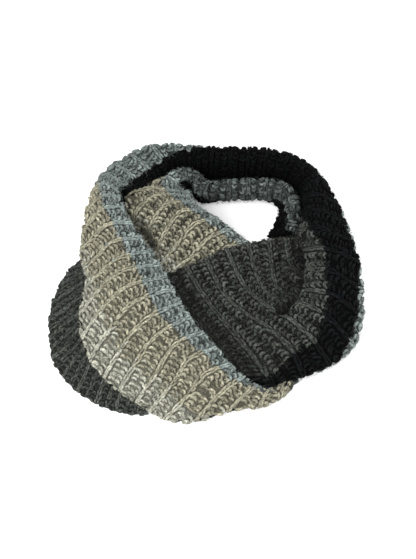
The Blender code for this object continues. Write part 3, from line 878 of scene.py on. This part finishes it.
def bend(cloth, template, stitches):
    """Points of all the stitches made from one template, in the frame."""
    width, height, lift = template.points.T
    width = width[None, :] * stitches.width[:, None] * stitches.mirror[:, None]
    height = height[None, :] * stitches.height[:, None]
    lean = stitches.turn[:, None]
    across_band = width * np.cos(lean) - height * np.sin(lean)
    up_band = width * np.sin(lean) + height * np.cos(lean)
    pitch = np.maximum(read(cloth, cloth.pitch, stitches.ribs, stitches.rows), LEAST_PITCH)
    slip = read(cloth, cloth.slip, stitches.ribs, stitches.rows) / pitch
    slip = np.clip(slip, -MOST_SLIP, MOST_SLIP)
    ribs = stitches.ribs[:, None] + across_band / pitch[:, None]
    rows = stitches.rows[:, None] + up_band - across_band * slip[:, None]
    points = read(cloth, cloth.points, ribs, rows)
    outward = read(cloth, cloth.outward, ribs, rows)
    clear = np.clip(points[:, :, 2] / REST_HEIGHT, 0.0, 1.0)
    clear *= np.clip(pitch / FULL_PITCH, LEAST_RISE, 1.0)[:, None]
    clear *= STRETCHED + (1 - STRETCHED) * np.clip(outward[:, :, 2] * LEVEL, 0.0, 1.0)
    away = (ribs - np.round(ribs)) / RIB_HALF_WIDTH
    rise = RIB_RISE * np.exp(-away * away) * clear
    height = rise + lift[None, :] + stitches.lift[:, None] - SINK - trough(cloth, ribs, rows)
    points = points + outward * height[:, :, None]
    points[:, :, 2] = np.maximum(points[:, :, 2], LOWEST)
    return in_frame(points)


print("ribs stand", RIB_RISE, "mm above the cloth between them where it lies free")

# %% [markdown]
# ## One mesh from many stitches
#
# Thousands of separate objects would slow Blender down, so all the stitches of one yarn in a stretch
# become one mesh. A bmesh would make it vertex by vertex. The points are known already, so they go in
# all at once, with the template's faces repeated for each stitch.

# %% Join the stitches
def join(name, parts, slot):
    """One mesh from many bent templates: (points, template, flipped, shade) for each batch."""
    verts, faces, uvs, shades = [], [], [], []
    count = 0
    for points, template, flipped, shade in parts:
        number, size = points.shape[:2]
        verts.append(points.reshape(-1, 3))
        order = np.where(flipped[:, None, None], template.faces[None, :, ::-1],
                         template.faces[None, :, :])
        faces.append((order + (np.arange(number) * size)[:, None, None] + count).reshape(-1, 4))
        shift = chance.random(number) * 40
        uvs.append((template.uvs[None, :, :] + shift[:, None, None]).reshape(-1, 2))
        shades.append(shade.ravel())
        count += number * size
    verts, faces = np.vstack(verts), np.vstack(faces)
    uvs, shades = np.vstack(uvs), np.concatenate(shades)
    mesh = bpy.data.meshes.new(name)
    mesh.vertices.add(len(verts))
    mesh.vertices.foreach_set("co", verts.astype(np.float32).ravel())
    mesh.loops.add(faces.size)
    mesh.loops.foreach_set("vertex_index", faces.astype(np.int32).ravel())
    mesh.polygons.add(len(faces))
    mesh.polygons.foreach_set("loop_start", np.arange(0, faces.size, 4, dtype=np.int32))
    mesh.update(calc_edges=True)
    mesh.uv_layers.new(name="yarn")
    mesh.uv_layers["yarn"].uv.foreach_set("vector", uvs[faces.ravel()].astype(np.float32).ravel())
    mesh.attributes.new("shade", "FLOAT", "POINT").data.foreach_set("value", shades.astype(np.float32))
    mesh.shade_smooth()
    mesh.materials.append(WOOLS[slot])
    made = bpy.data.objects.new(name, mesh)
    bpy.context.scene.collection.objects.link(made)
    return made


print("faces of a leg, a hump and a rung:", len(LEG.faces), len(HUMP.faces), len(RUNG.faces))

# %% [markdown]
# ## Loose fibres
#
# Wool sheds short fibres that stand off the yarn in every direction. They blur the outline and soften
# the gaps. Blender's hair would do this too, but once it is a mesh each hair is a tube with more
# points. So each fibre is a ribbon of three faces, thinner than a pencil line, that leaves a stitch,
# curves over and ends in the air.

# %% Fibres
FIBRE_WIDTH = 0.28         # mm
FIBRE_LENGTH = (3.0, 8.0)  # mm
FIBRE_ROOT = 1.2           # mm above the form, where it leaves the yarn
FIBRE_REACH = (0.8, 2.6)   # mm further that its end stands off
FIBRE_SWERVE = 0.9         # radians that it may turn on its way
FIBRE_SHARES = (0.0, 0.35, 0.7, 1.0)  # of its length, where its pairs of points lie
FIBRES_PER_STITCH = 2.4    # before those that start out of sight are left out
# painted light: fibres are coloured lighter than their yarn
FIBRE_SHADE = 1.15         # a lone fibre lets light through
FIBRE_FACES = np.array([[0, 2, 3, 1], [2, 4, 5, 3], [4, 6, 7, 5]])
FIBRE = Template(np.zeros((8, 3)), FIBRE_FACES, np.array([[k // 2, k % 2] for k in range(8)], float))


def fibres(cloth, ribs, rows):
    """Ribbons that start at these places: their points, four pairs along each."""
    count = len(ribs)
    heading = chance.uniform(0, 2 * math.pi, count)
    swerve = chance.uniform(-FIBRE_SWERVE, FIBRE_SWERVE, count)
    length = chance.uniform(*FIBRE_LENGTH, count)
    reach = chance.uniform(*FIBRE_REACH, count)
    pitch = np.maximum(read(cloth, cloth.pitch, ribs, rows), LEAST_PITCH)
    points = []
    for share in FIBRE_SHARES:
        way = heading + swerve * share
        at_rib = ribs + np.cos(way) * length * share / pitch
        at_row = rows + np.sin(way) * length * share
        lift = FIBRE_ROOT + reach * share ** 0.7 - trough(cloth, at_rib, at_row)
        middle = (read(cloth, cloth.points, at_rib, at_row)
                  + read(cloth, cloth.outward, at_rib, at_row) * lift[:, None])
        half = FIBRE_WIDTH / 2 * (1.1 - share)
        step = half / pitch * -np.sin(way)
        side = read(cloth, cloth.points, at_rib + step, at_row + half * np.cos(way))
        other = read(cloth, cloth.points, at_rib - step, at_row - half * np.cos(way))
        points += [middle + (side - other) / 2, middle - (side - other) / 2]
    made = np.stack(points, axis=1)
    made[:, :, 2] = np.maximum(made[:, :, 2], LOWEST)
    return in_frame(made)


print("fibres:", FIBRES_PER_STITCH, "for each stitch, each", len(FIBRE_FACES), "faces")

# %% [markdown]
# ## Where a column's stitches lie
#
# A knitter adds a stitch to each column in every row, so a column's stitches follow from its rib and
# its first row. A stretch doesn't begin or end straight across its rows, so each rib is asked where its
# own cloth begins and ends. Where the knitting is pulled, the stripes come earlier or later too.

# %% Places and colours
def stitch_places(cloth, first, last, column):
    """Rib and row of every stitch in a column that repeats on each rib, and whether it lies below."""
    ribs, rows, below = [], [], []
    for rib in range(math.ceil(first - column.place), math.floor(last - column.place) + 1):
        place = rib + column.place
        station = min(max(int(round((place - cloth.first) * FINE)), 0), len(cloth.low) - 1)
        begin = math.ceil(cloth.low[station] / ROW - column.shift)
        end = math.floor(cloth.high[station] / ROW - column.shift)
        height = (np.arange(begin, end + 1) + column.shift) * ROW
        ribs.append(np.full(len(height), place))
        rows.append(height)
        below.append(height > cloth.foot[station])
    return np.concatenate(ribs), np.concatenate(rows), np.concatenate(below)


def dyed(stretch, ribs, rows):
    """The rows whose colours show at these places, where the knitting isn't even."""
    rows = np.maximum(np.abs(rows), stretch.least)
    if stretch.cloth is not outer:
        return rows
    spread = np.interp(ribs, *zip(*OUTER_SPREAD))
    black = STRIPE_ENDS[2]
    return np.where(rows > black, black + (rows - black) / spread, rows)


print("rows from edge to edge:", round(FAR_EDGE / ROW))

# %% [markdown]
# ## All the stitches of one stretch
#
# A stretch is knitted column by column. Each stitch gets a small random change of place, size, lift
# and lean, larger in the loose columns, because wool never lies like a printed pattern. Then its yarn
# is chosen by its row, with a little chance where two yarns meet. Geometry nodes could scatter the
# stitches too, but each of them has to be bent to the cloth as well as placed on it.

# %% Lay the stitches
FULL_RIB = 23.0            # mm from one rib to the next where the band lies flat
NARROWEST, WIDEST = 0.35, 1.3  # how far the stitches follow a rib that is gathered or spread
SHORTER = 0.45             # how much of this shows in their height too
# what a column's looseness does to its stitches: how far it shifts them, in ribs and in mm, how much
# it changes their size, how far it lifts them, in mm, and how far it turns them, in radians
ASTRAY_RIBS, ASTRAY_ROWS, ASTRAY_SIZE, ASTRAY_LIFT, ASTRAY_TURN = 0.022, 0.6, 0.12, 0.5, 0.22


def jitter(count, share):
    """Factors that differ from 1 by about this share, and never by more than twice it."""
    return 1 + share * chance.standard_normal(count).clip(-2, 2)


def lay_stitches(stretch, tree, batches):
    """Put every stitch of this stretch into the batch of its yarn."""
    cloth = stretch.cloth
    for column in LAYER_COLUMNS if cloth is lower else COLUMNS:
        ribs, rows, below = stitch_places(cloth, stretch.first, stretch.last, column)
        kept = near_surface(tree, in_frame(read(cloth, cloth.points, ribs, rows)), KEEP_NEAR * MM)
        count = len(ribs)
        kept &= chance.random(count) < column.seen
        loose = column.loose
        narrow = np.clip(read(cloth, cloth.pitch, ribs, rows) / FULL_RIB, NARROWEST, WIDEST)
        short = 1 - SHORTER + SHORTER * narrow
        folded = crease_shade(cloth, ribs, rows)
        # each stitch's shade: the stretch's tone and painted shade, its column's painted light or
        # shade, a random unevenness of the yarn, and painted shade in the creases
        stitches = Stitches(
            ribs + loose * ASTRAY_RIBS * chance.standard_normal(count),
            rows + loose * ASTRAY_ROWS * chance.standard_normal(count),
            np.full(count, column.mirror),
            narrow ** column.gather * jitter(count, ASTRAY_SIZE * loose),
            short ** column.gather * jitter(count, ASTRAY_SIZE * loose),
            loose * ASTRAY_LIFT * chance.standard_normal(count),
            column.lean + loose * ASTRAY_TURN * chance.standard_normal(count),
            stretch.tone * column.light * jitter(count, stretch.uneven) * folded)
        shown = dyed(stretch, ribs, rows)
        blur = np.where(shown < SOFT_UNTIL, SOFT_CHANGE, SHARP_CHANGE)
        kinds = stripe(shown - column.lag + blur * chance.standard_normal(count))
        for template, here in ((column.top, kept & ~below), (column.under, kept & below)):
            if template is None or not here.any():
                continue
            chosen = Stitches(*[values[here] for values in stitches])
            points = bend(cloth, template, chosen)
            for number, yarn in enumerate(YARNS):
                mine = kinds[here] == number
                if mine.any():
                    flipped = np.full(mine.sum(), column.mirror < 0)
                    shade = chosen.shade[mine][:, None] * gap_shade(template, stretch.gaps)[None, :]
                    batches[yarn.slot].append((points[mine], template, flipped, shade))


print("a loose column's stitches lie", ASTRAY_ROWS, "mm astray, more or less")

# %% [markdown]
# ## Fibres over one stretch
#
# Fibres come off the yarn anywhere, so they start at random places round the stitches, and not in the
# columns. Each takes the colour and the shade of the place that it starts from. None is made on the
# underside, where the table presses them flat.

# %% Shed the fibres
def shed_fibres(stretch, tree, batches):
    """Put the loose fibres of this stretch into the batches too."""
    cloth = stretch.cloth
    ribs, rows, below = stitch_places(cloth, stretch.first, stretch.last, COLUMNS[-1])
    count = round(len(ribs) * FIBRES_PER_STITCH * len(COLUMNS))
    picks = chance.integers(0, len(ribs), count)
    ribs = ribs[picks] + chance.uniform(-0.5, 0.5, count)
    rows = rows[picks] + chance.uniform(-ROW / 2, ROW / 2, count)
    kept = near_surface(tree, in_frame(read(cloth, cloth.points, ribs, rows)), KEEP_NEAR * MM)
    kept &= ~below[picks]
    ribs, rows = ribs[kept], rows[kept]
    ribbons = fibres(cloth, ribs, rows)
    kinds = stripe(dyed(stretch, ribs, rows))
    # painted light and shade: fibres lighter than their yarn, darkened by the painted shade of their
    # stretch and of the creases
    shade = FIBRE_SHADE * stretch.tone * crease_shade(cloth, ribs, rows)
    for number, yarn in enumerate(YARNS):
        mine = kinds == number
        if mine.any():
            batches[yarn.slot].append((ribbons[mine], FIBRE, np.zeros(mine.sum(), bool),
                                       np.repeat(shade[mine][:, None], len(FIBRE.points), axis=1)))


print("a fibre starts within", ROW / 2, "mm of a stitch's row")

# %% [markdown]
# ## One stretch, knitted
#
# What a stretch is made of comes together here, as one mesh for each yarn. One mesh with five
# materials would do as well, but separate ones can be given another colour by themselves.

# %% Knit a stretch
def knit(stretch):
    """All the stitches and fibres of one stretch, as a mesh for each yarn in it."""
    tree = surface_tree(stretch.node)
    batches = {yarn.slot: [] for yarn in YARNS}
    lay_stitches(stretch, tree, batches)
    shed_fibres(stretch, tree, batches)
    made = []
    for slot, parts in batches.items():
        if parts:
            piece = join(stretch.node + "_" + slot.replace("_wool", "_stitches"), parts, slot)
            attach(piece, "root")
            made.append(piece)
            total = sum(len(points) for points, *_ in parts)
            shed = sum(len(points) for points, template, *_ in parts if template is FIBRE)
            print(piece.name, total - shed, "lengths of yarn,", shed, "fibres,",
                  len(piece.data.polygons) * 2, "triangles")
    return made


print("each stretch becomes a mesh for every yarn in it, up to", len(YARNS))

# %% [markdown]
# ## The backing cloth
#
# Between the stitches one looks onto the far side of the fabric, which lies in shade. It is made as a
# thin sheet just under the stitches: a grid laid over the form and given a thickness by Solidify. It
# could be left out, but then one would look through the gaps at nothing. The same test as for the
# stitches trims it where the scarf passes under itself.

# %% A grid laid over one stretch
BACKING_THICKNESS = 1.2    # mm
BACKING_ROWS = 3.0         # mm between the backing's points across the band
BACKING_STATIONS = 4       # and stations for each rib


def lay_grid(stretch):
    """A grid over one stretch's form: the bmesh, and each point's rib, row and whether it is kept."""
    cloth, first, last = stretch.cloth, stretch.first, stretch.last
    ribs = np.linspace(first, last, round((last - first) * BACKING_STATIONS) + 1)
    low = np.interp(ribs, cloth.first + np.arange(len(cloth.low)) / FINE, cloth.low)
    high = np.interp(ribs, cloth.first + np.arange(len(cloth.high)) / FINE, cloth.high)
    steps = round(np.median(high - low) / BACKING_ROWS)
    sheet = bmesh.new()
    bmesh.ops.create_grid(sheet, x_segments=len(ribs) - 1, y_segments=steps, size=0.5)
    sheet.verts.ensure_lookup_table()
    x = np.array([vert.co.x for vert in sheet.verts]) + 0.5
    y = np.array([vert.co.y for vert in sheet.verts]) + 0.5
    station = np.rint(x * (len(ribs) - 1)).astype(int)
    at_rib = ribs[station]
    at_row = low[station] + (high - low)[station] * y
    points = read(cloth, cloth.points, at_rib, at_row)
    outward = read(cloth, cloth.outward, at_rib, at_row)
    under = points - outward * (stretch.depth + trough(cloth, at_rib, at_row)[:, None])
    under[:, 2] = np.maximum(under[:, 2], LOWEST + BACKING_THICKNESS)
    for vert, point in zip(sheet.verts, in_frame(under)):
        vert.co = point
    kept = near_surface(surface_tree(stretch.node), in_frame(points), KEEP_NEAR * MM)
    return sheet, at_rib, at_row, kept


print("backing:", BACKING_THICKNESS, "mm thick,", BACKING_STATIONS, "stations for each rib")

# %% [markdown]
# ## The backing's painted shade
#
# The backing shows only through the gaps, and it is painted dark as shade, darkest under the channels.
# Near the cast-on edge the yarn is pale and lets light through, so there its gaps are painted lighter.
# Light alone would do some of this, but no light gets under stitches that lie as close as these.

# %% One stretch's backing
# painted shade: the backing is coloured darkest under the channels and lighter under the ridges
BACKING_SHADE = (0.08, 0.5)  # how light it is under a channel and under a ridge
HEM_ENDS = (35.0, 115.0)   # mm from the cast-on edge: up to the first its gaps are as light as the hem
                           # says, and from the second on as dark as any


def backing_shade(stretch, ribs, rows):
    """How light the backing is at these places, as a share of its yarn's colour."""
    ridge_share = np.abs((ribs - np.floor(ribs)) * 2 - 1)
    channel = np.interp(np.abs(rows), HEM_ENDS, (stretch.hem, BACKING_SHADE[0]))
    return channel + (BACKING_SHADE[1] - channel) * ridge_share


def backing(stretch):
    """The thin cloth under one stretch's stitches, underside and all."""
    node, slot = stretch.node, stretch.slot
    sheet, at_rib, at_row, kept = lay_grid(stretch)
    gone = [vert for vert, keep in zip(sheet.verts, kept) if not keep]
    kinds = stripe(dyed(stretch, at_rib, at_row))
    for face in sheet.faces:
        face.material_index = int(kinds[face.verts[0].index])
    bmesh.ops.delete(sheet, geom=gone, context="VERTS")
    name = node + "_backing"
    mesh = bpy.data.meshes.new(name)
    sheet.to_mesh(mesh)
    sheet.free()
    for yarn in YARNS:
        mesh.materials.append(WOOLS[yarn.slot])
    mesh.uv_layers.new(name="yarn")
    shade = backing_shade(stretch, at_rib[kept], at_row[kept])
    mesh.attributes.new("shade", "FLOAT", "POINT").data.foreach_set("value", shade.astype(np.float32))
    mesh.shade_smooth()
    made = bpy.data.objects.new(name, mesh)
    bpy.context.scene.collection.objects.link(made)
    thick = made.modifiers.new("thickness", "SOLIDIFY")
    thick.thickness = BACKING_THICKNESS * MM
    thick.offset = -1.0
    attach(made, "root")
    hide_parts(node)
    area = sum(face.area for face in mesh.polygons)
    print(name, len(mesh.polygons), "faces, area", round(area, 4), "m2")
    return made


print("the backing keeps", BACKING_SHADE, "of its light, under a channel and under a ridge")

# %% [markdown]
# ## The six stretches
#
# Now each stretch of the band is knitted onto its solid, which it then stands for, and the solid is
# hidden. The size that each backing was cut to is listed with it: ribs along it times 23 mm, and the
# rows that it shows. The yarn isn't equally light or closely knitted all over, and some stretches lie
# deeper in shade, so each stretch has a lightness of its own, partly painted shade. One mesh for the
# whole scarf would be simpler, but then it couldn't be told which cloth stands for which solid.

# %% Cover each solid with its backing and its stitches
# flat: the cut, in metres. depth: mm from the form's surface to the backing
# tone and painted shade: how light this stretch is drawn, partly how light the yarn came out and
# partly painted shade, strongest on the inner turn's back, which lies deep in the hole between walls
# least: colours start at this mark, because the rows before it are rolled in out of sight
# gaps, as painted shade: how much darker yarn is at the bottom of the gaps
# hem: how light the backing's channels are painted at the cast-on edge, where light comes through
# the pale yarn
# uneven: how much one stitch's shade differs from another's
Stretch = namedtuple("Stretch", "node cloth first last slot flat depth tone least gaps hem uneven")
STRETCHES = (
    Stretch("right_wrap", outer, OUTER_TURN[0].rib, RIGHT_TO_BACK, "dark_grey_wool",
            (0.34, 0.29), 3.4, 1.08, 0.0, 0.8, 0.08, 0.22),
    Stretch("back_wrap", outer, RIGHT_TO_BACK, BACK_TO_FRONT, "black_wool",
            (0.17, 0.276), 3.4, 0.80, 112.0, 0.35, 0.08, 0.22),
    Stretch("front_wrap", outer, BACK_TO_FRONT, OUTER_TURN[-1].rib, "cream_wool",
            (0.24, 0.41), 3.4, 1.06, 0.0, 0.4, 0.34, 0.18),
    Stretch("inner_back_wrap", inner, INNER_TURN[0].rib, HAIRPIN_TO_FRONT, "blue_grey_wool",
            (0.15, 0.205), 3.4, 0.38, 112.0, 1.0, 0.04, 0.45),
    Stretch("inner_front_wrap", inner, HAIRPIN_TO_FRONT, INNER_TURN[-1].rib, "beige_wool",
            (0.18, 0.195), 3.4, 1.03, 0.0, 0.7, 0.08, 0.2),
    Stretch("front_under_layer", lower, UNDER_LAYER[0].rib, UNDER_LAYER[-1].rib, "dark_grey_wool",
            (0.06, 0.267), 1.5, 1.15, 0.0, 0.8, 0.08, 0.25),
)
for stretch in STRETCHES:
    sheet = backing(stretch)
    stitches = knit(stretch)
print("meshes in the scene:", len(bpy.data.meshes))

# %% [markdown]
# ## Table
#
# The scarf lies on a plain white table. A curved backdrop would look no different, since only its
# flat part would be in view. The material glows faintly, because in a studio much light comes back
# from the walls, and so the shadow in the neck hole stays soft.

# %% Table
FLOOR = 4.0                # metres, each way
table_top = bmesh.new()
bmesh.ops.create_grid(table_top, x_segments=1, y_segments=1, size=FLOOR / 2)
table_mesh = bpy.data.meshes.new("table")
table_top.to_mesh(table_mesh)
table_top.free()
table = bpy.data.objects.new("table", table_mesh)
bpy.context.scene.collection.objects.link(table)
white = bpy.data.materials.new("white_table")
white.use_nodes = True
paint = white.node_tree.nodes["Principled BSDF"]
paint.inputs["Base Color"].default_value = (0.9, 0.9, 0.9, 1)
paint.inputs["Roughness"].default_value = 0.9
paint.inputs["Emission Color"].default_value = (1.0, 1.0, 1.0, 1)
paint.inputs["Emission Strength"].default_value = 0.2
table_mesh.materials.append(white)
print("table:", FLOOR, "m square")

# %% [markdown]
# ## Light
#
# A large soft key light stands above and a little in front, so the crowns are pale and the channels
# and folds go dark. A weaker one behind and a pale world fill the shadows, as in a light tent. A sun
# lamp would be simpler, but its shadows have hard edges.

# %% Light
world = bpy.data.worlds.new("studio")
bpy.context.scene.world = world
world.use_nodes = True
world.node_tree.nodes["Background"].inputs["Color"].default_value = (1.0, 1.0, 1.0, 1)
world.node_tree.nodes["Background"].inputs["Strength"].default_value = 0.85


def soft_light(name, place, size, power):
    """A square light that faces the middle of the scarf."""
    data = bpy.data.lights.new(name, "AREA")
    data.shape = "SQUARE"
    data.size = size
    data.energy = power
    light = bpy.data.objects.new(name, data)
    light.location = place
    light.rotation_mode = "QUATERNION"
    light.rotation_quaternion = (-Vector(place)).to_track_quat("-Z", "Y")
    bpy.context.scene.collection.objects.link(light)


soft_light("key", (-0.4, -0.6, 1.6), 0.9, 33.0)
soft_light("fill", (0.5, 0.6, 1.6), 1.2, 10.0)
print("lights:", len(bpy.data.lights))

# %% [markdown]
# ## Camera
#
# The camera looks down at a steep angle, from far enough away that the ring's near side isn't drawn
# larger than its far side. An orthographic camera would keep the proportions exactly, but nobody sees
# a scarf that way.

# %% Camera
CAMERA_LENS = 80.0         # mm
CAMERA_HEIGHT_ANGLE = math.radians(68)   # above the table
CAMERA_DISTANCE = 1.429    # metres from the point that it looks at
AIM = Vector((0.0019, -0.0046, 0.030))

camera_data = bpy.data.cameras.new("camera")
camera_data.lens = CAMERA_LENS
camera_data.sensor_width = 36.0
camera_data.sensor_fit = "AUTO"
camera = bpy.data.objects.new("camera", camera_data)
back = Vector((0.0, -math.cos(CAMERA_HEIGHT_ANGLE), math.sin(CAMERA_HEIGHT_ANGLE)))
camera.location = AIM + back * CAMERA_DISTANCE
camera.rotation_mode = "QUATERNION"
camera.rotation_quaternion = (-back).to_track_quat("-Z", "Y")
bpy.context.scene.collection.objects.link(camera)
bpy.context.scene.camera = camera
bpy.context.scene.view_settings.view_transform = "Standard"
print("camera at", [round(x, 3) for x in camera.location])
